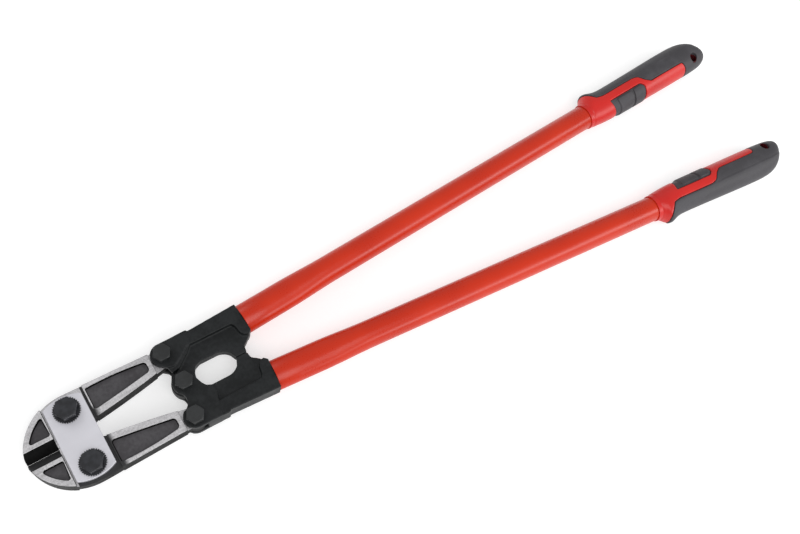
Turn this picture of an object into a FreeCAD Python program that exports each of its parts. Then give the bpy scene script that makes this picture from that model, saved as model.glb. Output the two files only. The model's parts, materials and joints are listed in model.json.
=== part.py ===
import FreeCAD, Part
import math
import os
import Sketcher

# Long-handled bolt cutters, closed and lying flat, in millimetres.
# Tool frame: the origin is midway between the two jaw bolts, on the tool's middle plane.
# -X runs to the jaw tips, +X to the grips, +Y to the upper handle, +Z out of the front face.
# Every sub-part is built in that frame, or in a frame along its handle tube, and its
# Placement then puts the whole tool over the origin with its lowest point at z = 0.

doc = FreeCAD.newDocument("BoltCutters")
sheet = doc.addObject("Spreadsheet::Sheet", "Sizes")

DRIVING = [
    # whole tool
    ("jaw_tip", 51.0),
    ("grip_end", 845.0),
    ("lift", 19.4),
    ("gap", 0.15),
    ("slip", 0.05),
    ("zero", 0.0),
    ("bolt_rad", 5.0),
    ("pin_fit", 0.06),
    # the three kinds of pivot
    ("jaw_bolt_y", 27.7),
    ("rear_bolt_x", 98.6),
    ("rear_bolt_y", 34.4),
    ("centre_x", 104.5),
    # jaws
    ("nose_half", 10.4),
    ("core_half", 5.8),
    ("arm_half", 8.9),
    ("eye_half", 5.8),
    ("eye_rad", 11.0),
    ("jaw_round", 52.6),
    ("jaw_top", 44.6),
    ("bevel_width", 9.4),
    ("edge_flat", 0.5),
    ("nose_step", 21.0),
    ("arm_step", 20.8),
    ("eye_step", 86.6),
    ("nose_pocket", 3.0),
    ("arm_pocket", 2.8),
    # jaw plates
    ("plate_front", 19.3),
    ("plate_rear", 18.2),
    ("plate_side", 37.0),
    ("plate_round", 42.0),
    # forged handle heads
    ("ear_rad", 11.5),
    ("ear_half", 12.4),
    ("slot_half", 6.1),
    ("eye_play", 0.9),
    ("web_half", 6.0),
    ("ear_step", 1.4),
    ("rail_half", 11.8),
    ("rail_inner", 31.5),
    ("head_side", 46.4),
    ("window_half", 13.0),
    ("window_start", 118.5),
    ("lug_start", 160.0),
    ("lug_end", 171.3),
    ("tongue_rad", 12.5),
    ("tongue_play", 3.4),
    ("tenon_root", 6.0),
    ("tenon_play", 0.12),
    # fasteners
    ("washer_rad", 12.4),
    ("washer_height", 2.0),
    ("jaw_hex_rad", 11.0),
    ("hex_rad", 9.2),
    ("head_height", 7.8),
    ("nut_height", 7.0),
    ("tooth_count", 24),
    ("tooth_depth", 0.9),
    ("tooth_half", 0.5),
    # handle tubes
    ("tube_x", 184.1),
    ("tube_y", 33.1),
    ("tube_tilt", 4.24),
    ("tube_rad", 14.2),
    ("tube_wall", 1.8),
    ("flat_wide", 15.6),
    ("flat_deep", 12.2),
    ("flat_length", 50.0),
    ("round_start", 105.0),
    ("tube_length", 634.0),
    ("tenon_length", 45.0),
    # grips, measured along the tube from its front end
    ("grip_start", 475.0),
    ("grip_length", 187.2),
    ("collar_rad", 16.4),
    ("waist_rad", 18.0),
    ("bulb_rad", 19.4),
    ("sleeve_wall", 1.6),
    ("hole_rad", 5.0),
    ("hole_x", 641.5),
    ("hole_y", 10.0),
]


class Size:
    """A length that knows its value and the spreadsheet expression behind it."""

    def __init__(self, value, text):
        self.value = value
        self.text = text

    def join(self, other, sign, value, flipped=False):
        text = other.text if isinstance(other, Size) else repr(float(other))
        first, second = (text, self.text) if flipped else (self.text, text)
        return Size(value, "(%s %s %s)" % (first, sign, second))

    def __add__(self, other):
        return self.join(other, "+", self.value + number(other))

    def __radd__(self, other):
        return self.join(other, "+", number(other) + self.value, True)

    def __sub__(self, other):
        return self.join(other, "-", self.value - number(other))

    def __rsub__(self, other):
        return self.join(other, "-", number(other) - self.value, True)

    def __mul__(self, other):
        return self.join(other, "*", self.value * number(other))

    def __rmul__(self, other):
        return self.join(other, "*", number(other) * self.value, True)

    def __neg__(self):
        return Size(-self.value, "(-1 * %s)" % self.text)


def number(length):
    return length.value if isinstance(length, Size) else float(length)


class Sheet:
    pass


S = Sheet()
for row, (alias, amount) in enumerate(DRIVING, start=1):
    sheet.set("A%d" % row, alias.replace("_", " "))
    sheet.set("B%d" % row, str(amount))
    sheet.setAlias("B%d" % row, alias)
    setattr(S, alias, Size(amount, "Sizes." + alias))
doc.recompute()

MIDDLE = (S.grip_end - S.jaw_tip) * 0.5
CLEAR = 1.0  # how far a cut starts outside the surface that it goes through
HEAD_TOP = 0.83  # the flat top of a bolt's head, as a share of its corner radius
CHAMFER = math.tan(math.radians(60))  # how fast the turned corners of a head fall away
PARTS = []


def bind(obj, path, length):
    if isinstance(length, Size):
        obj.setExpression(path, length.text)


def part(obj, label, x=0, y=0, z=0, turn=0, side=1):
    """Name a finished sub-part and put it in place: x, y, z in the tool frame, turned about +Z."""
    obj.Label = label
    here = FreeCAD.Vector(number(x) - MIDDLE.value, side * number(y), number(z) + S.lift.value)
    obj.Placement = FreeCAD.Placement(here, FreeCAD.Rotation(FreeCAD.Vector(0, 0, 1), side * number(turn)))
    bind(obj, ".Placement.Base.x", x - MIDDLE)
    bind(obj, ".Placement.Base.y", side * y)
    bind(obj, ".Placement.Base.z", z + S.lift)
    if isinstance(turn, Size):
        bind(obj, ".Placement.Rotation.Angle", turn)
        obj.setExpression(".Placement.Rotation.Axis.z", str(side))
    PARTS.append(obj)


def outline(sketch, corners):
    """Draw a closed loop. A corner is (x, y) or (x, y, radius): the radius makes the stretch to the
    next corner an arc, counter-clockwise when positive and clockwise when negative."""
    points = [FreeCAD.Vector(number(c[0]), number(c[1]), 0) for c in corners]
    count = len(corners)
    ends = []
    for i, corner in enumerate(corners):
        here, there = points[i], points[(i + 1) % count]
        if len(corner) < 3:
            index = sketch.addGeometry(Part.LineSegment(here, there), False)
            ends.append((index, 1, 2))
            continue
        radius = number(corner[2])
        chord = there - here
        rise = math.sqrt(max(radius ** 2 - chord.Length ** 2 / 4, 0.0))
        left = FreeCAD.Vector(-chord.y, chord.x, 0).normalize()
        centre = (here + there) * 0.5 + left * math.copysign(rise, radius)
        start, stop = (here, there) if radius > 0 else (there, here)
        first = math.atan2(start.y - centre.y, start.x - centre.x)
        last = math.atan2(stop.y - centre.y, stop.x - centre.x)
        circle = Part.Circle(centre, FreeCAD.Vector(0, 0, 1), abs(radius))
        index = sketch.addGeometry(Part.ArcOfCircle(circle, first, last), False)
        ends.append((index, 1, 2) if radius > 0 else (index, 2, 1))
    for i in range(count):
        after = ends[(i + 1) % count]
        sketch.addConstraint(Sketcher.Constraint("Coincident", ends[i][0], ends[i][2], after[0], after[1]))
    for i, corner in enumerate(corners):
        index, start, _ = ends[i]
        for kind, length in (("DistanceX", corner[0]), ("DistanceY", corner[1])):
            row = sketch.addConstraint(Sketcher.Constraint(kind, -1, 1, index, start, number(length)))
            bind(sketch, "Constraints[%d]" % row, length)
        if len(corner) > 2:
            row = sketch.addConstraint(Sketcher.Constraint("Radius", index, abs(number(corner[2]))))
            bind(sketch, "Constraints[%d]" % row, corner[2] if number(corner[2]) > 0 else -corner[2])


def circle(sketch, x, y, radius):
    centre = FreeCAD.Vector(number(x), number(y), 0)
    index = sketch.addGeometry(Part.Circle(centre, FreeCAD.Vector(0, 0, 1), number(radius)), False)
    for kind, length in (("DistanceX", x), ("DistanceY", y)):
        row = sketch.addConstraint(Sketcher.Constraint(kind, -1, 1, index, 3, number(length)))
        bind(sketch, "Constraints[%d]" % row, length)
    row = sketch.addConstraint(Sketcher.Constraint("Radius", index, number(radius)))
    bind(sketch, "Constraints[%d]" % row, radius)


def ellipse(sketch, wide, deep):
    """An oval about the sketch's origin, its long half-axis along x."""
    middle = FreeCAD.Vector(0, 0, 0)
    oval = Part.Ellipse(FreeCAD.Vector(number(wide), 0, 0), FreeCAD.Vector(0, number(deep), 0), middle)
    index = sketch.addGeometry(oval, False)
    sketch.exposeInternalGeometry(index)
    sketch.addConstraint(Sketcher.Constraint("Coincident", index, 3, -1, 1))
    for line, kind, length in ((index + 1, "DistanceX", wide), (index + 2, "DistanceY", deep)):
        first, last = sketch.getPoint(line, 1), sketch.getPoint(line, 2)
        along = (last.x - first.x) if kind == "DistanceX" else (last.y - first.y)
        low, high = (1, 2) if along > 0 else (2, 1)
        row = sketch.addConstraint(Sketcher.Constraint(kind, line, low, line, high, 2 * number(length)))
        bind(sketch, "Constraints[%d]" % row, 2 * length)
    sketch.addConstraint(Sketcher.Constraint("Horizontal", index + 1))


def new_body(label):
    return doc.addObject("PartDesign::Body", label)


def sketch_on(body, role, height=0, shift=0, tilt=0):
    """A sketch on one of the body's own planes, raised along the plane's normal."""
    sketch = body.newObject("Sketcher::SketchObject", "Sketch")
    plane = [feature for feature in body.Origin.OriginFeatures if feature.Role == role][0]
    sketch.AttachmentSupport = (plane, [""])
    sketch.MapMode = "FlatFace"
    offset = FreeCAD.Vector(number(shift), 0, number(height))
    turn = FreeCAD.Rotation(FreeCAD.Vector(0, 1, 0), number(tilt))
    sketch.AttachmentOffset = FreeCAD.Placement(offset, turn)
    bind(sketch, ".AttachmentOffset.Base.z", height)
    bind(sketch, ".AttachmentOffset.Base.x", shift)
    return sketch


def feature(body, kind, sketch, length):
    made = body.newObject(kind, kind.split("::")[1])
    made.Profile = sketch
    made.Length = number(length)
    bind(made, "Length", length)
    sketch.Visibility = False
    return made


def pad(body, corners, low, high, role="XY_Plane"):
    sketch = sketch_on(body, role, low)
    outline(sketch, corners)
    return feature(body, "PartDesign::Pad", sketch, high - low)


def pocket(body, corners, top, depth, role="XY_Plane"):
    """Cut from the height top down by depth."""
    sketch = sketch_on(body, role, top)
    outline(sketch, corners)
    return feature(body, "PartDesign::Pocket", sketch, depth)


def drill(body, x, y, radius, top, depth):
    sketch = sketch_on(body, "XY_Plane", top)
    circle(sketch, x, y, radius)
    return feature(body, "PartDesign::Pocket", sketch, depth)


def mirrored(corners, side):
    """The loop on the other side of the tool's long axis, still running the same way round."""
    if side > 0:
        return corners
    count = len(corners)
    turned = []
    for i in range(count):
        corner = corners[(-i) % count]
        before = corners[(-i - 1) % count]
        turned.append((corner[0], -corner[1]) + (before[2:] if len(before) > 2 else ()))
    return turned


# ---------------------------------------------------------------- jaws
def jaw(label, side):
    body = new_body(label)
    tip, top = -S.jaw_tip, S.jaw_top
    whole = [
        (tip, S.gap),
        (-3.0, S.gap),
        (S.arm_step, 9.9, 900.0),
        (86.0, 21.0),
        (S.rear_bolt_x, S.rear_bolt_y - S.eye_rad, S.eye_rad),
        (S.rear_bolt_x + S.eye_rad, S.rear_bolt_y, S.eye_rad),
        (S.rear_bolt_x, S.rear_bolt_y + S.eye_rad, S.eye_rad),
        (90.8, 42.2),
        (22.0, 43.9, 300.0),
        (1.0, top, S.jaw_round),
        (-49.8, 8.0, 16.0),
        (tip, 4.0),
    ]
    pad(body, mirrored(whole, side), -S.nose_half, S.nose_half)
    # the nose keeps its full thickness; the plates' seat, the arm and the eye are stepped down
    bands = [
        (-S.nose_step, S.arm_step, S.core_half),
        (S.arm_step, S.eye_step, S.arm_half),
        (S.eye_step, S.rear_bolt_x + S.eye_rad + 2.0, S.eye_half),
    ]
    for begin, finish, half in bands:
        band = [(begin, -2.0), (finish, -2.0), (finish, S.jaw_top + 2.0), (begin, S.jaw_top + 2.0)]
        pocket(body, mirrored(band, side), S.nose_half + CLEAR, S.nose_half + CLEAR - half)
        pocket(body, mirrored(band, side), -half, S.nose_half + CLEAR - half)
    # ground bevels either side of the cutting edge
    for face in (1, -1):
        bevel = [
            (side * S.gap, face * S.edge_flat),
            (side * S.bevel_width, face * (S.nose_half + 0.01)),
            (side * S.gap, face * (S.nose_half + 0.01)),
        ]
        sketch = sketch_on(body, "YZ_Plane", -S.nose_step)
        outline(sketch, bevel if side * face > 0 else bevel[::-1])
        feature(body, "PartDesign::Pocket", sketch, S.jaw_tip)
    # forged recesses in the nose and along the arm, on both faces
    nose_recess = [
        (-39.6, 13.2),
        (-23.4, 13.2, 2.2),
        (-21.9, 15.0),
        (-22.6, 31.0, 2.2),
        (-25.4, 31.8, 46.0),
        (-41.0, 15.9, 2.2),
    ]
    arm_recess = [
        (25.0, 16.8, 1500.0),
        (78.0, 25.4, 4.0),
        (82.0, 29.4),
        (82.0, 33.0, 4.0),
        (78.4, 37.0, 300.0),
        (23.6, 39.5, 1.6),
        (22.2, 38.0),
        (22.2, 19.0, 3.0),
    ]
    pocket(body, mirrored(nose_recess, side), S.nose_half, S.nose_pocket)
    pocket(body, mirrored(nose_recess, side), S.nose_pocket - S.nose_half, S.nose_pocket)
    pocket(body, mirrored(arm_recess, side), S.arm_half, S.arm_pocket)
    pocket(body, mirrored(arm_recess, side), S.arm_pocket - S.arm_half, S.arm_pocket)
    drill(body, 0, side * S.jaw_bolt_y, S.bolt_rad + S.pin_fit, S.nose_half, 2 * S.nose_half)
    drill(body, S.rear_bolt_x, side * S.rear_bolt_y, S.bolt_rad + S.pin_fit, S.nose_half, 2 * S.nose_half)
    part(body, label)


jaw("upper_jaw", 1)
jaw("lower_jaw", -1)


# ---------------------------------------------------------------- plates that carry the jaw bolts
def jaw_plate(label, face):
    body = new_body(label)
    shape = [
        (-S.plate_front, -S.plate_side, S.plate_round),
        (S.plate_rear, -S.plate_side),
        (S.plate_rear, S.plate_side, S.plate_round),
        (-S.plate_front, S.plate_side),
    ]
    low, high = (S.core_half + S.gap, S.nose_half) if face > 0 else (-S.nose_half, -S.core_half - S.gap)
    pad(body, shape, low, high)
    for side in (1, -1):
        drill(body, 0, side * S.jaw_bolt_y, S.bolt_rad + S.pin_fit, high, S.nose_half)
    part(body, label)


jaw_plate("front_jaw_plate", 1)
jaw_plate("back_jaw_plate", -1)


# ---------------------------------------------------------------- fasteners
def hexagon(height, name, corner):
    """A hexagon prism from z = 0 with its upper corners turned down to a cone."""
    prism = doc.addObject("Part::Prism", name + "_hexagon")
    prism.Polygon = 6
    prism.Circumradius = corner.value
    prism.Height = number(height)
    bind(prism, "Circumradius", corner)
    bind(prism, "Height", height)
    cone = doc.addObject("Part::Cone", name + "_chamfer")
    cone.Radius1 = (HEAD_TOP * corner + CHAMFER * height).value
    cone.Radius2 = (HEAD_TOP * corner).value
    cone.Height = number(height)
    bind(cone, "Radius1", HEAD_TOP * corner + CHAMFER * height)
    bind(cone, "Radius2", HEAD_TOP * corner)
    bind(cone, "Height", height)
    both = doc.addObject("Part::Common", name + "_head")
    both.Base = prism
    both.Tool = cone
    return both


def rod(name, radius, low, high):
    made = doc.addObject("Part::Cylinder", name)
    made.Radius = number(radius)
    made.Height = number(high - low)
    made.Placement.Base.z = number(low)
    bind(made, "Radius", radius)
    bind(made, "Height", high - low)
    bind(made, ".Placement.Base.z", low)
    return made


def join(kind, name, base, tool):
    made = doc.addObject(kind, name)
    made.Base = base
    made.Tool = tool
    return made


def bolt(label, x, y, side, seat, corner):
    """A hexagon-headed bolt: seat is the height of the surface under its head."""
    head = hexagon(S.head_height, label, corner)
    shank = rod(label + "_shank", S.bolt_rad, -2 * seat - S.nut_height, CLEAR)
    part(join("Part::Fuse", label, head, shank), label, x, y, seat, 0, side)


def nut(label, x, y, side, seat, corner):
    """A hexagon nut hanging below the height seat."""
    blank = hexagon(S.nut_height, label, corner)
    bore = rod(label + "_bore", S.bolt_rad + S.slip, -CLEAR, S.nut_height + CLEAR)
    made = join("Part::Cut", label, blank, bore)
    part(made, label, x, y, seat, 0, side)
    flip = FreeCAD.Rotation(FreeCAD.Vector(1, 0, 0), 180)
    made.Placement = FreeCAD.Placement(made.Placement.Base, flip)


def toothed_washer(label, side, low):
    """A lock washer with teeth round its rim."""
    body = new_body(label)
    disc = sketch_on(body, "XY_Plane")
    circle(disc, 0, 0, S.washer_rad)
    feature(body, "PartDesign::Pad", disc, S.washer_height)
    drill(body, 0, 0, S.bolt_rad + S.pin_fit, S.washer_height, S.washer_height)
    rim = S.washer_rad
    notch = [
        (rim - S.tooth_depth, 0),
        (rim + CLEAR, -2 * S.tooth_half),
        (rim + CLEAR, 2 * S.tooth_half),
    ]
    cut = pocket(body, notch, S.washer_height, S.washer_height)
    ring = body.newObject("PartDesign::PolarPattern", "Teeth")
    ring.Originals = [cut]
    axis = [line for line in body.Origin.OriginFeatures if line.Role == "Z_Axis"][0]
    ring.Axis = (axis, [""])
    ring.Angle = 360
    ring.Occurrences = int(S.tooth_count.value)
    bind(ring, "Occurrences", S.tooth_count)
    body.Tip = ring
    part(body, label, S.zero, S.jaw_bolt_y, low, 0, side)


for name, side in (("upper", 1), ("lower", -1)):
    front = S.nose_half + S.washer_height
    toothed_washer(name + "_jaw_front_washer", side, S.nose_half)
    toothed_washer(name + "_jaw_back_washer", side, -S.nose_half - S.washer_height)
    bolt(name + "_jaw_bolt", S.zero, S.jaw_bolt_y, side, front, S.jaw_hex_rad)
    nut(name + "_jaw_nut", S.zero, S.jaw_bolt_y, side, -front, S.jaw_hex_rad)
    bolt(name + "_rear_bolt", S.rear_bolt_x, S.rear_bolt_y, side, S.ear_half, S.hex_rad)
    nut(name + "_rear_nut", S.rear_bolt_x, S.rear_bolt_y, side, -S.ear_half, S.hex_rad)
bolt("centre_bolt", S.centre_x, S.zero, 1, S.ear_half, S.hex_rad)
nut("centre_nut", S.centre_x, S.zero, 1, -S.ear_half, S.hex_rad)


# ---------------------------------------------------------------- forged handle heads
def handle_head(label, side):
    """The head's web, outer rail, clevis ears and the tenon that fills the tube's mouth. The upper
    head ends in a tongue at the centre bolt, the lower one in a second pair of ears."""
    body = new_body(label)
    slot = S.eye_rad + S.eye_play
    tongue = side > 0
    lean = math.tan(math.radians(S.tube_tilt.value))
    tube_end = [
        (S.tube_x + lean * S.flat_wide, S.tube_y - S.flat_wide),
        (S.tube_x - lean * S.flat_wide, S.tube_y + S.flat_wide),
    ]
    rear = [
        (S.window_start + 8.5, S.window_half),
        (146.0, S.window_half, -16.0),
        (S.lug_start - 3.0, 7.0),
        (S.lug_start, S.gap),
        (S.lug_end, S.gap),
        (S.lug_end + 1.0, 6.5, -14.0),
        (176.2, 9.6),
        (181.4, 14.0),
    ] + tube_end + [(107.0, S.head_side - 0.5)]
    around_rear_bolt = [
        (S.rear_bolt_x + 7.65, S.rear_bolt_y + 9.12, -slot),
        (S.rear_bolt_x + 11.5, S.rear_bolt_y - 3.06, -slot),
        (S.rear_bolt_x + 2.1, S.rear_bolt_y - 11.71),
    ]
    if tongue:
        front = [
            (99.0, 16.0),
            (94.6, 7.6, S.tongue_rad),
            (S.centre_x, -S.tongue_rad, S.tongue_rad),
            (S.centre_x + S.tongue_rad, 0),
            (S.window_start, 6.0),
            (S.window_start + 2.5, 10.5),
        ]
    else:
        front = [(102.0, 17.4), (108.0, 16.6), (114.2, 14.2), (S.window_start + 2.5, 10.5)]
    web = rear + around_rear_bolt + front
    pad(body, mirrored(web, side), -S.web_half, S.web_half)
    rail = [
        (112.5, S.rail_inner),
        (170.6, S.rail_inner),
        (173.0, 27.4),
        (174.2, 19.6),
        (176.4, 16.4),
        (181.4, 14.0),
    ] + tube_end + [(112.5, S.head_side - 0.4)]
    pad(body, mirrored(rail, side), -S.rail_half, S.rail_half)
    bolt_top = S.rear_bolt_y + S.ear_rad
    if tongue:
        ear = [
            (S.rear_bolt_x, bolt_top, S.ear_rad),
            (S.rear_bolt_x - S.ear_rad, S.rear_bolt_y, S.ear_rad),
            (S.rear_bolt_x - 7.5, S.rear_bolt_y - 8.72, -12.0),
            (98.0, 18.5),
            (99.6, 13.6),
            (106.7, 15.0),
            (120.5, 25.7),
            (126.6, 32.0),
            (128.5, bolt_top),
        ]
    else:
        ear = [
            (S.rear_bolt_x, bolt_top, S.ear_rad),
            (S.rear_bolt_x - S.ear_rad, S.rear_bolt_y, S.ear_rad),
            (S.rear_bolt_x - 7.5, S.rear_bolt_y - 8.72, -11.0),
            (97.5, 9.12, S.ear_rad),
            (S.centre_x - S.ear_rad, 0, S.ear_rad),
            (S.centre_x, -S.ear_rad, S.ear_rad),
            (S.centre_x + S.ear_rad, 0),
            (S.window_start, 8.0),
            (S.window_start + 3.0, 12.5),
            (127.5, 15.2),
            (127.2, 23.0),
            (121.5, 42.0),
            (119.0, bolt_top),
        ]
    brim = S.ear_half - S.ear_step if tongue else S.ear_half
    pad(body, mirrored(ear, side), S.slot_half, brim)
    pad(body, mirrored(ear, side), -brim, -S.slot_half)
    if tongue:
        # the ear's raised face stops short of its edge on the centre bolt's side
        face = [
            (S.rear_bolt_x, bolt_top, S.ear_rad),
            (S.rear_bolt_x - S.ear_rad, S.rear_bolt_y, S.ear_rad),
            (S.rear_bolt_x - 7.5, S.rear_bolt_y - 8.72),
            (98.4, 19.6),
            (103.9, 18.6),
            (112.8, 24.0),
            (121.0, 30.4),
            (124.4, 34.0),
            (126.0, bolt_top),
        ]
        pad(body, mirrored(face, side), S.slot_half, S.ear_half)
        pad(body, mirrored(face, side), -S.ear_half, -S.slot_half)
    # solid shoulder between the two ears, behind the slot that holds the jaw's eye
    shoulder = [
        (112.5, 27.0),
        (119.0, 27.0),
        (126.0, 32.5),
        (126.0, bolt_top),
        (112.5, bolt_top),
    ] if tongue else [
        (121.0, 14.5),
        (127.3, 15.2),
        (127.0, 23.0),
        (121.5, 42.0),
        (119.0, bolt_top),
        (112.5, bolt_top),
        (112.5, 20.0),
    ]
    pad(body, mirrored(shoulder, side), -brim, brim)
    # tenon inside the flattened end of the tube
    root_y = side * (S.tube_y - lean * S.tenon_root)
    tenon = sketch_on(body, "YZ_Plane", S.tube_x - S.tenon_root, root_y, side * S.tube_tilt.value)
    inner = S.tube_wall + S.tenon_play
    ellipse(tenon, S.flat_wide - inner, S.flat_deep - inner)
    feature(body, "PartDesign::Pad", tenon, S.tenon_length)
    through = 2 * (S.ear_half + CLEAR)
    drill(body, S.rear_bolt_x, side * S.rear_bolt_y, S.bolt_rad + S.pin_fit, S.ear_half + CLEAR, through)
    play = S.tongue_play if tongue else S.pin_fit
    drill(body, S.centre_x, 0, S.bolt_rad + play, S.ear_half + CLEAR, through)
    part(body, label)


handle_head("upper_handle_head", 1)
handle_head("lower_handle_head", -1)


# ---------------------------------------------------------------- handle tubes
def loft(body, kind, near, far):
    made = body.newObject(kind, "Loft")
    made.Profile = near
    made.Sections = [far]
    made.Ruled = True
    return made


def tube(label, side):
    """A round tube whose front end is pressed to an oval over the head's tenon."""
    body = new_body(label)
    for wall, additive in ((0, True), (S.tube_wall, False)):
        mouth = sketch_on(body, "YZ_Plane", 0 if additive else S.flat_length)
        ellipse(mouth, S.flat_wide - wall, S.flat_deep - wall)
        kind = "PartDesign::Pad" if additive else "PartDesign::Pocket"
        feature(body, kind, mouth, S.flat_length)
        oval = sketch_on(body, "YZ_Plane", S.flat_length)
        ellipse(oval, S.flat_wide - wall, S.flat_deep - wall)
        ring = sketch_on(body, "YZ_Plane", S.round_start)
        circle(ring, 0, 0, S.tube_rad - wall)
        loft(body, "PartDesign::AdditiveLoft" if additive else "PartDesign::SubtractiveLoft", oval, ring)
        shank = sketch_on(body, "YZ_Plane", S.round_start if additive else S.tube_length)
        circle(shank, 0, 0, S.tube_rad - wall)
        feature(body, kind, shank, S.tube_length - S.round_start)
    part(body, label, S.tube_x, S.tube_y, 0, S.tube_tilt, side)


tube("upper_tube", 1)
tube("lower_tube", -1)


# ---------------------------------------------------------------- moulded grips
def prism(name, corners, half):
    """A plan outline pulled up through the whole thickness of a grip."""
    sketch = doc.addObject("Sketcher::SketchObject", name + "_plan")
    sketch.Placement.Base.z = -number(half)
    bind(sketch, ".Placement.Base.z", -half)
    outline(sketch, corners)
    made = doc.addObject("Part::Extrusion", name)
    made.Base = sketch
    made.DirMode = "Normal"
    made.LengthFwd = 2 * number(half)
    bind(made, "LengthFwd", 2 * half)
    made.Solid = True
    return made


def turned(name, corners):
    """A profile spun about the handle's axis."""
    sketch = doc.addObject("Sketcher::SketchObject", name + "_profile")
    outline(sketch, corners)
    made = doc.addObject("Part::Revolution", name)
    made.Source = sketch
    made.Axis = FreeCAD.Vector(1, 0, 0)
    made.Angle = 360
    made.Solid = True
    return made


def grip(name, side):
    """A hard core sleeve over the tube, soft rubber moulded on its outer side, and a rubber pad let
    into its inner side. x runs along the tube, and the other handle is on the -y side of the
    upper grip and the +y side of the lower one."""
    start, end = S.grip_start, S.grip_start + S.grip_length
    sleeve = S.tube_rad + S.sleeve_wall
    whole = turned(name + "_whole", [
        (start, 0),
        (end, 0),
        (end, 7.0, 12.5),
        (end - 12.0, S.bulb_rad),
        (start + 85.0, S.waist_rad + 0.3),
        (start + 12.0, S.waist_rad),
        (start + 9.0, S.collar_rad + 0.6),
        (start, S.collar_rad),
    ])
    reach = S.bulb_rad + 4.0
    plan = prism(name + "_plan_shape", mirrored([
        (start - 2.0, -reach),
        (end + 2.0, -reach),
        (end + 2.0, -4.0),
        (end - 1.4, -4.0, 42.0),
        (end - 27.0, 18.2),
        (end - 34.0, reach),
        (start - 2.0, reach),
    ], side), reach)
    blank = join("Part::Common", name + "_blank", whole, plan)
    hole = rod(name + "_hang_hole", S.hole_rad, -reach, reach)
    hole.Placement.Base.x = S.hole_x.value
    hole.Placement.Base.y = -side * S.hole_y.value
    bind(hole, ".Placement.Base.x", S.hole_x)
    bind(hole, ".Placement.Base.y", -side * S.hole_y)
    pierced = join("Part::Cut", name + "_pierced", blank, hole)
    bore = turned(name + "_tube_space", [
        (start - 5.0, 0),
        (S.tube_length + CLEAR, 0),
        (S.tube_length + CLEAR, S.tube_rad + S.slip),
        (start - 5.0, S.tube_rad + S.slip),
    ])
    body = join("Part::Cut", name + "_body", pierced, bore)
    core = turned(name + "_core_shape", [
        (start - 5.0, 0),
        (end - 24.0, 0),
        (end - 24.0, sleeve),
        (start + 12.0, sleeve),
        (start + 9.0, S.collar_rad + 2.0),
        (start - 5.0, S.collar_rad + 2.0),
    ])
    strip = prism(name + "_strip", mirrored([
        (start + 9.0, -reach),
        (end - 44.0, -reach),
        (end - 44.0, -12.0),
        (end - 48.0, -10.0),
        (start + 92.0, -10.0),
        (start + 82.0, 3.2),
        (start + 9.0, 3.2),
    ], side), reach)
    red = join("Part::Fuse", name + "_core_zone", core, strip)
    pad_zone = prism(name + "_pad_zone", mirrored([
        (start + 32.0, -reach),
        (start + 80.0, -reach),
        (start + 80.0, -10.0),
        (start + 74.0, -5.0),
        (start + 36.0, -5.0),
        (start + 32.0, -10.0),
    ], side), reach)
    under_pad = turned(name + "_under_pad", [
        (start, 0),
        (end, 0),
        (end, sleeve),
        (start, sleeve),
    ])
    pad_shape = join("Part::Cut", name + "_pad_shape", pad_zone, under_pad)
    placing = (S.tube_x, S.tube_y, 0, S.tube_tilt, side)
    red_less = join("Part::Cut", name + "_red_less_pad", red, pad_shape)
    part(join("Part::Common", name + "_core", body, red_less), name + "_core", *placing)
    part(join("Part::Cut", name + "_rubber", body, red), name + "_rubber", *placing)
    inlay = join("Part::Common", name + "_palm_pad", body, pad_shape)
    part(inlay, name + "_palm_pad", *placing)


grip("upper_grip", 1)
grip("lower_grip", -1)

doc.recompute()

for obj in doc.Objects:
    broken = [state for state in obj.State if state in ("Invalid", "Error")]
    if broken:
        raise RuntimeError("%s did not compute: %s" % (obj.Label, broken))
for obj in PARTS:
    if obj.Shape.isNull() or not obj.Shape.isValid():
        raise RuntimeError("%s has no valid shape" % obj.Label)

os.makedirs("parts", exist_ok=True)
for obj in PARTS:
    obj.Shape.exportStep("parts/%s.step" % obj.Label)
    box = obj.Shape.BoundBox
    print("%-24s volume %9.0f  x %7.1f %7.1f  y %6.1f %6.1f  z %5.1f %5.1f  solids %d" % (
        obj.Label, obj.Shape.Volume, box.XMin, box.XMax, box.YMin, box.YMax, box.ZMin, box.ZMax,
        len(obj.Shape.Solids)))
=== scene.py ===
import json
import math

import bpy
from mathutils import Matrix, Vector


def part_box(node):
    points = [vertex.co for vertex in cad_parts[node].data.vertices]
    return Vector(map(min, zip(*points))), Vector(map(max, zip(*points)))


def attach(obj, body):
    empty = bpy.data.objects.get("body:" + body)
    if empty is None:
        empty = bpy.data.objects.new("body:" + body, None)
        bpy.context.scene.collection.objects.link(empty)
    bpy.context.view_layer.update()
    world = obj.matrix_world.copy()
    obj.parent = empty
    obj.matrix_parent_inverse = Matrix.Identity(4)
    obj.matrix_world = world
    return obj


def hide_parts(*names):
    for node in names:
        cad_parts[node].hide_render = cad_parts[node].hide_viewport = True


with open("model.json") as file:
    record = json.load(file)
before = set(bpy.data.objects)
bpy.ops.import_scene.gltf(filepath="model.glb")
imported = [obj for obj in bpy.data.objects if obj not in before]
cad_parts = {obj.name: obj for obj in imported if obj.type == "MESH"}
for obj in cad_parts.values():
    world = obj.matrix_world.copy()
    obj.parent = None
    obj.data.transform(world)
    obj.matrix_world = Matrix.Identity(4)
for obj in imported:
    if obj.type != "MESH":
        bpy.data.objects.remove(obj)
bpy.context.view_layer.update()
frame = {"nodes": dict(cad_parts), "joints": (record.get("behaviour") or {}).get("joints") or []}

MM = 0.001
SIDES = {"upper": 1, "lower": -1}


# ------------------------------------------------------------------ where things are
def joint_place(name):
    return Vector([joint for joint in frame["joints"] if joint["name"] == name][0]["pos_m"])


JAW_PIVOT = joint_place("upper_jaw_pivot")

# Midway between the jaw bolts. Outlines in mm count along the tool and out from its middle line.
ORIGIN = Vector((JAW_PIVOT.x, 0, JAW_PIVOT.z))

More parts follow.
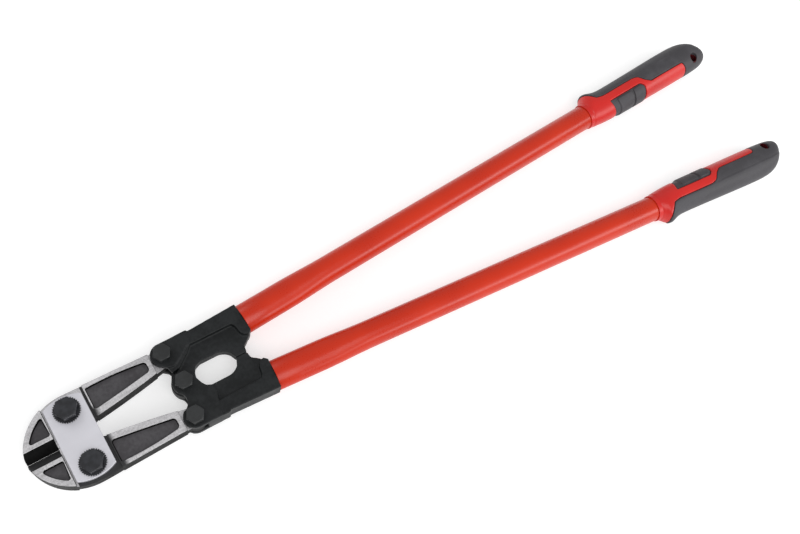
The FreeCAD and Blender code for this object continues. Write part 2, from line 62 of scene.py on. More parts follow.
# The upper handle's tube, which starts at the forged head and splays outwards
TUBE_FRONT = ORIGIN + Vector((184.1, 33.1, 0)) * MM
TUBE_TILT = math.radians(4.24)
TUBE_RADIUS = 14.2 * MM
TUBE_WALL = 1.8 * MM
TUBE_LENGTH = 634 * MM


# ------------------------------------------------------------------ materials
class Signal:
    """A socket of a finish's nodes. Arithmetic on it adds Math nodes."""

    def __init__(self, finish, socket):
        self.finish = finish
        self.socket = socket

    def maths(self, operation, *values):
        return self.finish.node("ShaderNodeMath", {"operation": operation}, dict(enumerate(values)))

    def __add__(self, other):
        return self.maths("ADD", self, other)

    def __radd__(self, other):
        return self.maths("ADD", other, self)

    def __sub__(self, other):
        return self.maths("SUBTRACT", self, other)

    def __rsub__(self, other):
        return self.maths("SUBTRACT", other, self)

    def __mul__(self, other):
        return self.maths("MULTIPLY", self, other)

    def __rmul__(self, other):
        return self.maths("MULTIPLY", other, self)

    def larger(self, other):
        return self.maths("MAXIMUM", self, other)

    def axis(self, name):
        split = self.finish.tree.nodes.new("ShaderNodeSeparateXYZ")
        self.finish.tree.links.new(self.socket, split.inputs[0])
        return Signal(self.finish, split.outputs[name])


class Finish:
    """A material whose nodes are made from expressions."""

    def __init__(self, name):
        self.material = bpy.data.materials.new(name)
        self.material.use_nodes = True
        self.tree = self.material.node_tree
        self.tree.nodes.clear()
        self.place = self.node("ShaderNodeTexCoord", output="Object")

    def node(self, kind, settings=None, inputs=None, output=0):
        made = self.tree.nodes.new(kind)
        for key, value in (settings or {}).items():
            setattr(made, key, value)
        for key, value in (inputs or {}).items():
            if isinstance(value, Signal):
                self.tree.links.new(value.socket, made.inputs[key])
            else:
                made.inputs[key].default_value = value
        return Signal(self, made.outputs[output])

    def noise(self, scale, detail=4.0, roughness=0.5, stretch=(1, 1, 1)):
        where = self.node("ShaderNodeMapping", None, {"Vector": self.place, "Scale": stretch})
        return self.node("ShaderNodeTexNoise", None, {
            "Vector": where, "Scale": scale, "Detail": detail, "Roughness": roughness})

    def spread(self, signal, low, high, start=0.0, end=1.0):
        """signal from low..high drawn out to start..end, held beyond them and eased between."""
        return self.node("ShaderNodeMapRange", {"interpolation_type": "SMOOTHSTEP"}, {
            "Value": signal, "From Min": low, "From Max": high, "To Min": start, "To Max": end})

    def blend(self, share, first, second):
        """The colour first where share is 0 and second where it is 1."""
        return self.node("ShaderNodeMix", {"data_type": "RGBA"}, {0: share, 6: first, 7: second}, 2)

    def surface(self, colour, roughness, height, depth, **constants):
        """The finished material: height is the pattern of its bumps and depth their size in metres."""
        bump = self.node("ShaderNodeBump", None, {"Height": height, "Distance": depth, "Strength": 1.0})
        inputs = {"Base Color": colour, "Roughness": roughness, "Normal": bump}
        for key, value in constants.items():
            inputs[key.replace("_", " ")] = value
        shader = self.node("ShaderNodeBsdfPrincipled", None, inputs, "BSDF")
        output = self.tree.nodes.new("ShaderNodeOutputMaterial")
        self.tree.links.new(shader.socket, output.inputs["Surface"])
        return self.material


def rgb(red, green, blue):
    return (red, green, blue, 1)


def grey(value):
    return rgb(value, value, value)


def ground_steel(name, side):
    """Ground and blasted tool steel. Black is painted on the plates' seat and in a band just behind the
    plates as painted shade in the gap beside them, fading out behind them.
    """
    finish = Finish(name)
    mottle = finish.noise(640, 5, 0.7)
    lines = finish.noise(260, 3, 0.5, (0.12, 2.2, 1.0))
    cloud = finish.noise(45, 2, 0.5)
    grain = mottle * 0.7 + lines * 0.3
    shade = finish.spread(grain * 0.8 + cloud * 0.2, 0.36, 0.62)
    steel = finish.blend(shade, rgb(0.42, 0.415, 0.425), rgb(0.66, 0.65, 0.665))
    # millimetres along the tool from the jaw bolts, and outwards from its middle line
    along = (finish.place.axis("X") - ORIGIN.x) * (1 / MM)
    outward = finish.place.axis("Y") * (side / MM)
    # scale is the share of painted shade: black, non-metal steel on the plates' seat and beside the
    # plates, fading out behind them with a ragged edge
    ragged = mottle * 3.0 - 1.5
    shade_fade = finish.spread(along + ragged - outward * 0.08, 20.5, 26.0, 1.0, 0.0)
    if side > 0:
        beside_plate = finish.spread(along, 20.6, 20.9, 1.0, 0.0)
        inner_strip = shade_fade * finish.spread(outward, 17.0, 23.0, 1.0, 0.0)
        scale = beside_plate.larger(inner_strip) * finish.spread(along, 18.2, 18.5)
    else:
        scale = shade_fade * finish.spread(along, -19.6, -19.0)
    colour = finish.blend(scale, steel, rgb(0.012, 0.012, 0.013))
    rough = finish.spread(grain, 0.35, 0.65, 0.36, 0.54)
    metal = 0.85 - scale * 0.8
    return finish.surface(colour, rough, grain, 0.00005, Metallic=metal)


def plate_steel():
    """Blanked and finely blasted plate, paler and smoother than the jaws."""
    finish = Finish("plate_steel")
    grain = finish.noise(900, 3, 0.6)
    cloud = finish.noise(24, 3, 0.5)
    drag = finish.noise(300, 3, 0.5, (0.1, 2.0, 1.0))
    tone = finish.spread(cloud * 0.85 + drag * 0.15, 0.35, 0.65)
    colour = finish.blend(tone, rgb(0.645, 0.64, 0.685), rgb(0.69, 0.685, 0.73))
    rough = finish.spread(grain * 0.5 + drag * 0.5, 0.35, 0.65, 0.42, 0.52)
    return finish.surface(colour, rough, grain * 0.9 + drag * 0.1, 0.000012, Metallic=0.8)


def forged_black(name, dark, light, gloss):
    """Drop-forged steel under a thin satin black coat, with the forging's skin showing through."""
    finish = Finish(name)
    skin = finish.noise(330, 6, 0.62)
    lumps = finish.noise(60, 3, 0.5)
    shade = finish.spread(skin * 0.5 + lumps * 0.5, 0.38, 0.62)
    colour = finish.blend(shade, dark, light)
    rough = finish.spread(lumps, 0.3, 0.7, 0.44, 0.58)
    return finish.surface(colour, rough, skin * 0.6 + lumps * 0.8, 0.00014, Specular_IOR_Level=gloss)


def fastener_black():
    """Blacked steel of the jaw bolts, glossier and a little bluer than the forgings."""
    finish = Finish("fastener_black")
    skin = finish.noise(700, 4, 0.6)
    cloud = finish.noise(150, 2, 0.5)
    tone = finish.spread(cloud, 0.35, 0.65)
    colour = finish.blend(tone, rgb(0.010, 0.0105, 0.0135), rgb(0.021, 0.022, 0.027))
    rough = finish.spread(skin, 0.3, 0.7, 0.28, 0.42)
    return finish.surface(colour, rough, skin, 0.00004, Metallic=0.2, Specular_IOR_Level=0.55)


def tube_paint():
    """Sprayed enamel with a slight orange peel and a few fine specks."""
    finish = Finish("tube_paint")
    peel = finish.noise(520, 2, 0.4)
    cloud = finish.noise(16, 2, 0.5)
    specks = finish.spread(finish.noise(900, 3, 0.6), 0.66, 0.74)
    tone = finish.spread(cloud, 0.3, 0.7)
    base = finish.blend(tone, rgb(0.47, 0.017, 0.0006), rgb(0.53, 0.022, 0.001))
    colour = finish.blend(specks * 0.35, base, rgb(0.36, 0.014, 0.004))
    rough = finish.spread(peel * 0.5 + cloud * 0.5, 0.3, 0.7, 0.26, 0.34)
    return finish.surface(colour, rough, peel, 0.000015, Specular_IOR_Level=0.36)


def grip_red():
    """Hard moulded plastic with a fine satin skin."""
    finish = Finish("grip_red")
    skin = finish.noise(1100, 3, 0.55)
    cloud = finish.noise(22, 2, 0.5)
    tone = finish.spread(cloud, 0.3, 0.7)
    colour = finish.blend(tone, rgb(0.50, 0.007, 0.004), rgb(0.57, 0.011, 0.007))
    rough = finish.spread(skin * 0.4 + cloud * 0.6, 0.3, 0.7, 0.32, 0.42)
    return finish.surface(colour, rough, skin, 0.00003, Specular_IOR_Level=0.42)


def grip_rubber():
    """Soft moulded rubber with a fine matte grain and faint dusty wear."""
    finish = Finish("grip_rubber")
    grain = finish.noise(1500, 3, 0.6)
    dust = finish.spread(finish.noise(38, 4, 0.6), 0.45, 0.75)
    colour = finish.blend(dust, rgb(0.046, 0.044, 0.049), rgb(0.066, 0.064, 0.071))
    rough = finish.spread(grain * 0.5 + dust * 0.5, 0.2, 0.8, 0.50, 0.66)
    return finish.surface(colour, rough, grain, 0.00007, Specular_IOR_Level=0.3)


STEEL = {side_name: ground_steel("ground_steel_" + side_name, side) for side_name, side in SIDES.items()}
PLATE = plate_steel()
FORGED = forged_black("forged_black", rgb(0.006, 0.007, 0.0075), rgb(0.013, 0.0145, 0.0155), 0.22)
REAR_BLACK = forged_black("rear_bolt_black", rgb(0.006, 0.007, 0.0075), rgb(0.012, 0.0135, 0.0145), 0.5)
RECESS = forged_black("forged_recess", rgb(0.036, 0.033, 0.037), rgb(0.056, 0.053, 0.058), 0.4)
# The near-black below is painted shade: darker and matter than the forgings, for the jaws' black sides
# and rims and the upper jaw's cutting bevel. The next, lighter black is painted light on the lower jaw's
# bevel.
SHADE_BLACK = forged_black("edge_painted_shade_black", grey(0.003), grey(0.006), 0.06)
LIT_BEVEL_BLACK = forged_black("lower_bevel_painted_light", rgb(0.020, 0.020, 0.021), rgb(0.032, 0.032, 0.033), 0.2)
BLACKED = fastener_black()
PAINT = tube_paint()
RED = grip_red()
# Painted shade: a much darker copy of the grip's red for the bush inside the hang hole.
SHADED_HOLE_RED = forged_black("hang_hole_painted_shade", rgb(0.060, 0.002, 0.004), rgb(0.085, 0.003, 0.006), 0.2)
RUBBER = grip_rubber()


# ------------------------------------------------------------------ modelling tools
def deselect():
    bpy.ops.object.select_all(action="DESELECT")


def pick(piece):
    deselect()
    piece.select_set(True)
    bpy.context.view_layer.objects.active = piece


def modify(piece, kind, **settings):
    """Add a modifier with these settings and apply it."""
    modifier = piece.modifiers.new(kind, kind)
    for key, value in settings.items():
        setattr(modifier, key, value)
    pick(piece)
    bpy.ops.object.modifier_apply(modifier=modifier.name)


def settle(piece):
    """Bring the place, turn and scale of a piece into its mesh."""
    pick(piece)
    bpy.ops.object.transform_apply(location=True, rotation=True, scale=True)


def enter():
    bpy.ops.object.mode_set(mode="EDIT")


def leave():
    bpy.ops.object.mode_set(mode="OBJECT")


def edit(piece):
    """Open a piece's mesh with all of it selected."""
    pick(piece)
    enter()
    bpy.ops.mesh.select_all(action="SELECT")


def edit_only(piece, kind, chosen):
    """Open a piece's mesh with only the chosen polygons or vertices selected."""
    edit(piece)
    bpy.ops.mesh.select_all(action="DESELECT")
    leave()
    getattr(piece.data, kind).foreach_set("select", chosen)
    enter()


def leave_outwards():
    """Close the open mesh with all of its faces pointing outwards."""
    bpy.ops.mesh.select_all(action="SELECT")
    bpy.ops.mesh.normals_make_consistent(inside=False)
    leave()


def cad_copy(node, name):
    """A copy of a CAD node with its loose triangles joined into clean faces."""
    piece = bpy.data.objects.new(name, frame["nodes"][node].data.copy())
    bpy.context.scene.collection.objects.link(piece)
    piece.data.materials.clear()
    pick(piece)
    bpy.ops.mesh.customdata_custom_splitnormals_clear()
    edit(piece)
    bpy.ops.mesh.remove_doubles(threshold=0.002 * MM)
    bpy.ops.mesh.dissolve_limited(angle_limit=math.radians(0.5))
    leave_outwards()
    return piece


def shade(piece, angle):
    """Shade a piece smooth, except across edges sharper than angle in degrees."""
    pick(piece)
    bpy.ops.object.shade_smooth_by_angle(angle=math.radians(angle))


def bevelled(piece, width, angle, **settings):
    modify(piece, "BEVEL", width=width, segments=2, limit_method="ANGLE",
           angle_limit=math.radians(angle), **settings)


def rounded(piece, width, angle=30):
    """Break a machined piece's edges and keep its flat faces flat in the shading."""
    shade(piece, angle)
    bevelled(piece, width, angle, use_clamp_overlap=True, harden_normals=True)


def melted(piece, voxel, rounds):
    """Soften a piece's edges as forging or moulding does."""
    modify(piece, "REMESH", mode="VOXEL", voxel_size=voxel, use_smooth_shade=True)
    modify(piece, "SMOOTH", factor=0.5, iterations=rounds)
    pick(piece)
    bpy.ops.object.shade_smooth()


def finish_piece(piece, body, slot, node, *materials):
    for material in materials:
        piece.data.materials.append(material)
    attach(piece, body)
    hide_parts(node)


def lofted(name, stations, count=64):
    """A bar drawn out along X through stations of (x, middle, half width, half height)."""
    deselect()
    across = (0, math.pi / 2, 0)
    bpy.ops.mesh.primitive_circle_add(vertices=count, radius=1, fill_type="NGON", rotation=across)
    piece = bpy.context.active_object
    piece.name = name
    settle(piece)
    edit(piece)
    x, middle, wide, high = stations[0]
    bpy.ops.transform.resize(value=(1, wide, high), center_override=(0, 0, 0))
    bpy.ops.transform.translate(value=(x, middle, 0))
    for after in stations[1:]:
        step = (after[0] - x, after[1] - middle, 0)
        bpy.ops.mesh.extrude_region_move(TRANSFORM_OT_translate={"value": step})
        ratio = (1, after[2] / wide, after[3] / high)
        x, middle, wide, high = after
        bpy.ops.transform.resize(value=ratio, center_override=(x, middle, 0))
    leave_outwards()
    return piece


def prism(name, corners, low, high, radius=0.0):
    """A closed outline in plan, drawn corner by corner and pulled up from low to high."""
    deselect()
    bpy.ops.mesh.primitive_plane_add(size=MM)
    piece = bpy.context.active_object
    piece.name = name
    edit(piece)
    bpy.ops.mesh.merge(type="CENTER")
    bpy.ops.transform.translate(value=(corners[0][0], corners[0][1], low))
    for before, after in zip(corners, corners[1:]):
        step = (after[0] - before[0], after[1] - before[1], 0)
        bpy.ops.mesh.extrude_region_move(TRANSFORM_OT_translate={"value": step})
    bpy.ops.mesh.select_all(action="SELECT")
    bpy.ops.mesh.edge_face_add()
    if radius:
        bpy.ops.mesh.bevel(offset=radius, segments=4, affect="VERTICES")
        bpy.ops.mesh.select_all(action="SELECT")
    bpy.ops.mesh.extrude_region_move(TRANSFORM_OT_translate={"value": (0, 0, high - low)})
    leave_outwards()
    return piece


def rod(name, x, y, radius, half):
    """An upright round cutter or core, from half below to half above the floor."""
    deselect()
    bpy.ops.mesh.primitive_cylinder_add(vertices=48, radius=radius, depth=2 * half, location=(x, y, 0))
    made = bpy.context.active_object
    made.name = name
    settle(made)
    return made


def carve(piece, tool, how="DIFFERENCE", keep=False):
    """Cut a tool out of a piece, or join or intersect the two, and remove the tool unless it's kept."""
    modify(piece, "BOOLEAN", operation=how, object=tool, solver="EXACT")
    if not keep:
        bpy.data.objects.remove(tool)


def twin(piece, name):
    copied = piece.copy()
    copied.data = piece.data.copy()
    copied.name = name
    bpy.context.scene.collection.objects.link(copied)
    return copied


def mirror_y(piece):
    """Turn a piece of the upper handle into the lower one's."""
    piece.scale = (1, -1, 1)
    settle(piece)
    edit(piece)
    leave_outwards()


# ------------------------------------------------------------------ jaws
# Heights in mm of a jaw's flat faces over its middle plane: the nose, the arm and the plates' seat
NOSE_FACE = 10.4
ARM_FACE = 8.9
SEAT_FACE = 5.8

# In mm: how far the bevels of the cutting edge reach from the middle line, and where they end
BEVEL_REACH = 9.4
BEVEL_REAR = -20

# How far the normal of a face points up or down: beyond these it counts as flat, or isn't a side wall
FLAT = 0.9
SLOPING = 0.5


def jaw(side_name):
    piece = cad_copy(side_name + "_jaw", side_name + "_jaw_forging")
    rounded(piece, 0.45 * MM)
    materials = [STEEL[side_name], RECESS, SHADE_BLACK, LIT_BEVEL_BLACK]
    finish_piece(piece, side_name + "_jaw", "ground_steel", side_name + "_jaw", *materials)
    for face in piece.data.polygons:
        face.material_index = materials.index(jaw_finish(face, side_name))
    blend_recess(piece, materials.index(RECESS), materials.index(SHADE_BLACK))


def jaw_finish(face, side_name):
    """Ground faces are bright, forged recesses grey and everything else black with painted shade; the
    lower jaw's bevel gets a lighter black as painted light.
    """
    place = (face.center - ORIGIN) / MM
    height = abs(place.z)
    upright = abs(face.normal.z)
    in_bevel = place.x < BEVEL_REAR and abs(place.y) < BEVEL_REACH and height < NOSE_FACE - 0.5
    if upright < SLOPING:
        return SHADE_BLACK
    # the upper jaw's bevel gets the black of painted shade, the lower jaw's a lighter black of painted
    # light
    if upright < FLAT and in_bevel:
        return SHADE_BLACK if side_name == "upper" else LIT_BEVEL_BLACK
    if min(abs(height - level) for level in (NOSE_FACE, ARM_FACE, SEAT_FACE)) < 0.3:
        return STEEL[side_name]
    return RECESS if upright > FLAT else SHADE_BLACK


def blend_recess(piece, recess, rim):
    """Slope the rim of each forged recess down to its floor, and paint the rim black as painted shade
    along the recess's walls.
    """
    edit_only(piece, "polygons", [face.material_index == recess for face in piece.data.polygons])
    bpy.ops.mesh.inset(thickness=1.2 * MM, depth=-0.5 * MM)
    leave()
    # the sloped rims take the black of painted shade
    for face in piece.data.polygons:
        if face.material_index == recess and not face.select:
            face.material_index = rim


for side_name in SIDES:
    jaw(side_name)

for face_name in ("front", "back"):
    plate = cad_copy(face_name + "_jaw_plate", face_name + "_link_plate")
    rounded(plate, 0.4 * MM)
    finish_piece(plate, "jaw_plates", "ground_steel", face_name + "_jaw_plate", PLATE)


# ------------------------------------------------------------------ fasteners
WASHER_TEETH = 36
WASHER_BORE = 5.06 * MM

# The toothed rim stands this far past the CAD washer's
WASHER_PROUD = 0.5 * MM


def fastener(node, name, body, material):
    piece = cad_copy(node, name)
    rounded(piece, 0.4 * MM, 25)
    finish_piece(piece, body, "fastener_black", node, material)


def lock_washer(node, name):
    """A disc whose rim is pressed into a ring of fine teeth."""
    low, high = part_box(node)
    centre = (low + high) / 2
    radius = (high.x - low.x) / 2 + WASHER_PROUD
    thick = high.z - low.z
    deselect()
    bpy.ops.mesh.primitive_cylinder_add(
        vertices=2 * WASHER_TEETH, radius=radius, depth=thick, location=centre)
    piece = bpy.context.active_object
    piece.name = name
    settle(piece)
    edit_only(piece, "polygons", [abs(face.normal.z) > FLAT for face in piece.data.polygons])
    bpy.ops.mesh.inset(thickness=3.6 * MM)
    leave()
    edit_only(piece, "vertices", [
        in_a_gap(corner.co - centre, radius) for corner in piece.data.vertices])
    bpy.ops.transform.resize(value=(0.91, 0.91, 0.2), center_override=centre)
    leave()
    carve(piece, rod("washer_bore", centre.x, centre.y, WASHER_BORE, 50 * MM))
    shade(piece, 20)
    finish_piece(piece, "jaw_plates", "fastener_black", node, BLACKED)


def in_a_gap(out, radius):
    """Whether a corner of a washer is on its rim, between two teeth."""
    turn = round(math.atan2(out.y, out.x) / math.pi * WASHER_TEETH)
    return out.xy.length > radius - 0.5 * MM and turn % 2 == 1


for side_name in SIDES:
    for face_name in ("front", "back"):
        start = "%s_jaw_%s_" % (side_name, face_name)
        lock_washer(start + "washer", start + "lock_washer")
    for kind in ("bolt", "nut"):
        fastener("%s_jaw_%s" % (side_name, kind), "%s_jaw_hex_%s" % (side_name, kind),
                 "jaw_plates", BLACKED)
        fastener("%s_rear_%s" % (side_name, kind), "%s_rear_hex_%s" % (side_name, kind),
                 side_name + "_handle", REAR_BLACK)
fastener("centre_bolt", "centre_hex_bolt", "lower_handle", REAR_BLACK)
fastener("centre_nut", "centre_hex_nut", "lower_handle", REAR_BLACK)


# ------------------------------------------------------------------ forged handle heads
# The rail behind a head's ears is a little lower and narrower than the ears. Plans are in mm, for
# either handle, and so are the heights of the rail and of the cutters' far side.
EAR_END = {
    "upper": [(127.4, 30.8), (129.2, 52)],
    "lower": [(127.6, 22.6), (122.2, 41.5), (120.0, 52)],
}
RAIL_REAR = [(186, 52), (186, 12), (172, 12), (172, 28)]
RAIL_SIDE = [(129.6, 45.0), (183.2, 48.4), (183.2, 54), (129.6, 54)]
RAIL_HEIGHT = 10.8
CLEAR_HEIGHT = 16


def tool_outline(corners, side):
    """Corners in mm from ORIGIN, on the upper or the lower handle's side."""
    return [(ORIGIN.x + x * MM, side * y * MM) for x, y in corners]


def head_forging(side_name, side):
    head = cad_copy(side_name + "_handle_head", side_name + "_head_forging")
    top = prism("rail_top", tool_outline(EAR_END[side_name] + RAIL_REAR, side),
                ORIGIN.z + RAIL_HEIGHT * MM, ORIGIN.z + CLEAR_HEIGHT * MM)
    bottom = twin(top, "rail_bottom")
    bottom.location.z = -(RAIL_HEIGHT + CLEAR_HEIGHT) * MM
    settle(bottom)
    edge = prism("rail_edge", tool_outline(RAIL_SIDE, side), ORIGIN.z - 20 * MM, ORIGIN.z + 20 * MM)
    for tool in (top, bottom, edge):
        carve(head, tool)
    melted(head, 0.6 * MM, 8)
    finish_piece(head, side_name + "_handle", "forged_black", side_name + "_handle_head", FORGED)


for side_name, side in SIDES.items():
    head_forging(side_name, side)


# ------------------------------------------------------------------ handle tubes
# Half width and half height of the end that is pressed over the head's tenon, and where along the
# tube this ends and the round section starts
PRESSED_WIDE = 15.6 * MM
PRESSED_HIGH = 12.2 * MM
PRESSED_END = 50 * MM
ROUND_START = 105 * MM


def on_handle(piece):
    """Lay a piece built along X on the upper handle's axis."""
    piece.rotation_euler = (0, 0, TUBE_TILT)
    piece.location = TUBE_FRONT
    settle(piece)


def handle_tube():
    stations = [(x, 0, PRESSED_WIDE, PRESSED_HIGH) for x in (0, PRESSED_END * 0.5, PRESSED_END)]
    steps = 8
    for i in range(1, steps + 1):
        share = i / steps
        eased = share * share * (3 - 2 * share)
        stations.append((
            PRESSED_END + (ROUND_START - PRESSED_END) * share, 0,
            PRESSED_WIDE + (TUBE_RADIUS - PRESSED_WIDE) * eased,
            PRESSED_HIGH + (TUBE_RADIUS - PRESSED_HIGH) * eased))
    stations.append((TUBE_LENGTH, 0, TUBE_RADIUS, TUBE_RADIUS))
    outer = lofted("handle_tube", stations, 96)
    # the bore's stations slide from 2 mm ahead to 2 mm behind, so that it comes out at both ends
    bore = []
    for i, (x, middle, wide, high) in enumerate(stations):
        slid = x - 2 * MM + 4 * MM * i / (len(stations) - 1)
        bore.append((slid, middle, wide - TUBE_WALL, high - TUBE_WALL))
    carve(outer, lofted("tube_bore", bore, 96))
    bevelled(outer, 0.5 * MM, 50)
    shade(outer, 40)
    return outer


model_tube = handle_tube()
for side_name in SIDES:
    tube = twin(model_tube, side_name + "_handle_tube")
    on_handle(tube)
    if side_name == "lower":
        mirror_y(tube)
    finish_piece(tube, side_name + "_handle", "tube_paint", side_name + "_tube", PAINT)
bpy.data.objects.remove(model_tube)


# ------------------------------------------------------------------ grips
# The grips are built along X with the tube's front at 0 and the outer side at positive Y.
GRIP_STATIONS = [
    # along the tube, outer reach, inner reach, half height, all in mm
    (475.0, 15.4, 15.4, 15.4),
    (475.8, 16.6, 16.2, 16.2),
    (479.0, 18.4, 16.6, 16.9),
    (482.0, 22.8, 17.0, 17.3),
    (485.0, 23.8, 17.4, 17.6),
    (489.0, 22.8, 17.8, 17.8),
    (494.0, 20.6, 18.3, 17.8),
    (501.0, 19.2, 18.8, 17.8),
    (508.0, 18.7, 19.0, 17.8),
    (530.0, 18.9, 19.4, 18.0),
    (560.0, 19.4, 19.9, 18.3),
    (596.0, 20.0, 20.3, 18.8),
    (621.0, 20.2, 20.4, 19.1),
    (636.0, 19.4, 20.2, 19.1),
    (646.0, 16.8, 19.9, 18.8),
    (653.0, 12.3, 19.2, 17.8),
    (657.5, 6.8, 18.2, 15.8),
    (660.6, 0.8, 16.6, 12.6),
    (662.0, -5.0, 14.6, 8.0),
]

# Plans in mm of where each material shows. AHEAD is ahead of the grip's mouth, INNER and REACH past
# its inner side and its top and bottom.
AHEAD = 470
INNER = -30
REACH = 30 * MM
RED_PLAN = [
    (AHEAD, INNER), (623, INNER), (624.5, -16), (621, -9), (568, -8.5), (561, -4), (555, 3.5),
    (549, 5.5), (500, 5.5), (491, 7.5), (479, 26), (AHEAD, 26)]
PAD_PLAN = [(512, INNER), (557, INNER), (557, -9), (552, -4.6), (503, -4.6)]
FRONT_BLOCK_PLAN = [(519, INNER), (536, INNER), (536, -7), (512.5, -7)]
REAR_BLOCK_PLAN = [(539, INNER), (554.5, INNER), (554.5, -9), (551, -6.6), (539, -6.6)]
PANEL_PLAN = [
    (AHEAD, 6.8), (492, 7.6), (500, 7.6), (640, 6.2), (654, 4.0), (670, 0.0), (670, 32), (AHEAD, 32)]

# The hole near the grip's end, and the red bush round it under the rubber
HANG_HOLE = (641.5 * MM, -10 * MM)
HOLE_RADIUS = 5 * MM
BUSH_RADIUS = 5.7 * MM
BUSH_HALF = 13 * MM

# The socket for the tube, and the red sleeve round it under the rubber: radius, and end in mm
SOCKET = (TUBE_RADIUS + 0.05 * MM, 635)
SLEEVE = (15.3 * MM, 638.2)

# Space between the red core and the pad or the rubber
PAD_PLAY = 0.5 * MM
RUBBER_PLAY = 0.75 * MM


def grip_blank(name, proud):
    """The whole grip as one solid, its sides standing proud of the stations."""
    stations = []
    for along, out, inn, high in GRIP_STATIONS:
        middle = (out - inn) / 2
        half = (out + inn) / 2
        stations.append((along * MM, middle * MM, (half + proud) * MM, (high + proud) * MM))
    blank = lofted(name, stations)
    bevelled(blank, 0.6 * MM, 50)
    modify(blank, "SUBSURF", levels=1, render_levels=1)
    return blank


def zone(name, plan, radius=0.0):
    """A cutter through the grip with this plan."""
    return prism(name, [(x * MM, y * MM) for x, y in plan], -REACH, REACH, radius)


def sleeve(name, radius, end):
    return lofted(name, [(AHEAD * MM, 0, radius, radius), (end * MM, 0, radius, radius)])


def grown(piece, name, amount):
    """A copy of a cutter, larger all round."""
    made = twin(piece, name)
    modify(made, "DISPLACE", strength=amount, mid_level=0.0)
    return made


def model_grip():
    """The upper grip's red core, rubber and palm pad, not yet laid on the handle."""
    bore = sleeve("bore", *SOCKET)
    hole = rod("hole", *HANG_HOLE, HOLE_RADIUS, 2 * REACH)
    bush = rod("bush", *HANG_HOLE, BUSH_RADIUS, BUSH_HALF)
    under = sleeve("under", *SLEEVE)
    red_zone = zone("red_zone", RED_PLAN, 1.8 * MM)
    pad_zone = zone("pad_zone", PAD_PLAN, 1.4 * MM)
    front_block = zone("front_block", FRONT_BLOCK_PLAN, 1.6 * MM)
    rear_block = zone("rear_block", REAR_BLOCK_PLAN, 1.6 * MM)
    panel_zone = zone("panel_zone", PANEL_PLAN)
    rubber = grip_blank("grip_rubber_model", -0.1)
    panel = grip_blank("grip_outer_panel", 0.4)
    core = grip_blank("grip_core_model", -0.3)
    pad = grip_blank("grip_pad_model", -1.0)
    raised = grip_blank("pad_blocks", 0.5)
    carve(panel, panel_zone, "INTERSECT")
    carve(rubber, panel, "UNION")
    # the red core: the collar and strip at full size, a sleeve under the rubber and a hang-hole bush
    carve(core, red_zone, "INTERSECT", keep=True)
    carve(core, twin(under, "core_sleeve"), "UNION")
    carve(core, twin(bush, "core_bush"), "UNION")
    # the palm pad, with two raised blocks, over the sleeve
    pad_space = twin(pad_zone, "pad_space")
    carve(pad_space, twin(under, "pad_floor"))
    carve(core, grown(pad_space, "pad_seat", PAD_PLAY))
    carve(front_block, rear_block, "UNION")
    carve(raised, front_block, "INTERSECT")
    carve(pad, raised, "UNION")
    carve(pad, pad_space, "INTERSECT")
    # the rubber covers what the red core leaves
    carve(rubber, grown(red_zone, "red_seat", RUBBER_PLAY))
    for tool in (under, bush):
        carve(rubber, tool)
    for piece in (core, rubber, pad):
        carve(piece, bore, keep=True)
        carve(piece, hole, keep=True)
    melted(rubber, 0.6 * MM, 2)
    melted(core, 0.6 * MM, 2)
    melted(pad, 0.5 * MM, 2)
    for piece in (rubber, core):
        modify(piece, "DECIMATE", ratio=0.5)
    for tool in (bore, hole, red_zone, pad_zone):
        bpy.data.objects.remove(tool)
    return core, rubber, pad


def grips():
    core, rubber, pad = model_grip()
    # the core's faces round the hang hole take the darker red of painted shade
    for face in core.data.polygons:
        in_hole = (face.center.xy - Vector(HANG_HOLE)).length < BUSH_RADIUS + 0.8 * MM
        face.material_index = 1 if in_hole else 0
    for model, node, slot, materials, name in (
            (core, "core", "grip_red", [RED, SHADED_HOLE_RED], "moulded_core"),
            (rubber, "rubber", "grip_rubber", [RUBBER], "rubber_overmould"),
            (pad, "palm_pad", "grip_rubber", [RUBBER], "palm_insert")):
        for side_name in SIDES:
            piece = twin(model, "%s_grip_%s" % (side_name, name))
            on_handle(piece)
            if side_name == "lower":
                mirror_y(piece)
            finish_piece(piece, side_name + "_handle", slot, "%s_grip_%s" % (side_name, node), *materials)
        bpy.data.objects.remove(model)


grips()


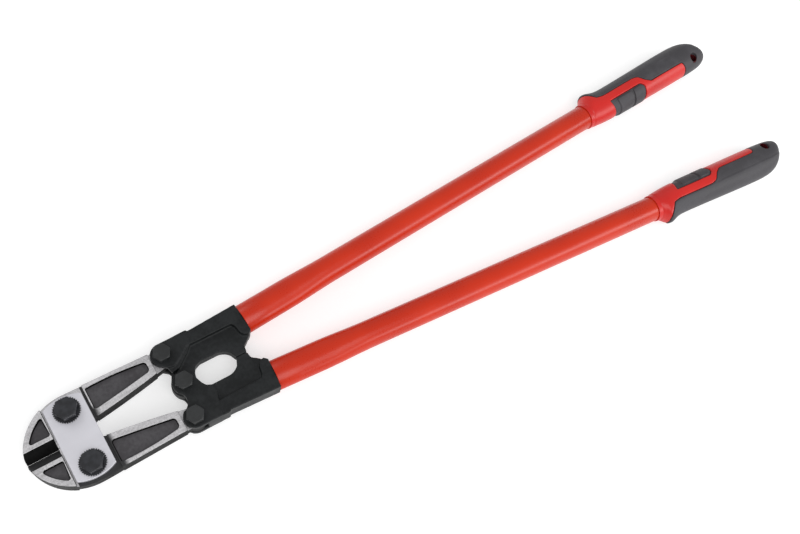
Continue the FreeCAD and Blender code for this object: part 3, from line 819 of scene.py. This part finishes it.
# ------------------------------------------------------------------ floor, light and camera
FLOOR_SIZE = 14
FLOOR_GLOW = 0.5
ROOM_LIGHT = 0.62
CAMERA_PLACE = (-0.37625, -0.24935, 0.91130)
CAMERA_TURN = (23.584, -9.492, -31.988)
FOCAL_LENGTH = 42.03


def studio():
    deselect()
    bpy.ops.mesh.primitive_plane_add(size=FLOOR_SIZE, location=(0, 0, -0.2 * MM))
    floor = bpy.context.active_object
    floor.name = "studio_floor"
    settle(floor)
    finish = Finish("studio_floor")
    tone = finish.noise(1.5, 2, 0.4)
    colour = finish.blend(tone, grey(0.62), grey(0.65))
    floor.data.materials.append(finish.surface(
        colour, 0.9, tone, 0.0001, Emission_Color=grey(1.0), Emission_Strength=FLOOR_GLOW))
    world = bpy.data.worlds.new("soft_room")
    world.use_nodes = True
    room = world.node_tree.nodes["Background"]
    room.inputs["Color"].default_value = grey(1.0)
    room.inputs["Strength"].default_value = ROOM_LIGHT
    bpy.context.scene.world = world
    softbox("side_strip", place=(1.15, -1.6, 0.85), size=(2.2, 0.5), watts=22)
    softbox("key_softbox", place=(-0.4, -1.1, 2.1), size=(1.4, 1.4), watts=20)
    softbox("back_softbox", place=(-1.0, 1.7, 1.4), size=(1.4, 1.0), watts=8)
    bpy.context.scene.view_settings.view_transform = "Standard"


def softbox(name, place, size, watts):
    """A rectangular light that faces the middle of the tool."""
    lamp = bpy.data.lights.new(name, "AREA")
    lamp.shape = "RECTANGLE"
    lamp.size, lamp.size_y = size
    lamp.energy = watts
    holder = bpy.data.objects.new(name, lamp)
    holder.location = place
    holder.rotation_euler = (-Vector(place)).to_track_quat("-Z", "Y").to_euler()
    bpy.context.scene.collection.objects.link(holder)


def camera():
    lens = bpy.data.cameras.new("main_camera")
    lens.sensor_width = 36
    lens.lens = FOCAL_LENGTH
    lens.shift_y = 0.0008
    lens.clip_start = 0.01
    holder = bpy.data.objects.new("main_camera", lens)
    holder.location = CAMERA_PLACE
    holder.rotation_euler = [math.radians(angle) for angle in CAMERA_TURN]
    bpy.context.scene.collection.objects.link(holder)
    bpy.context.scene.camera = holder


studio()
camera()
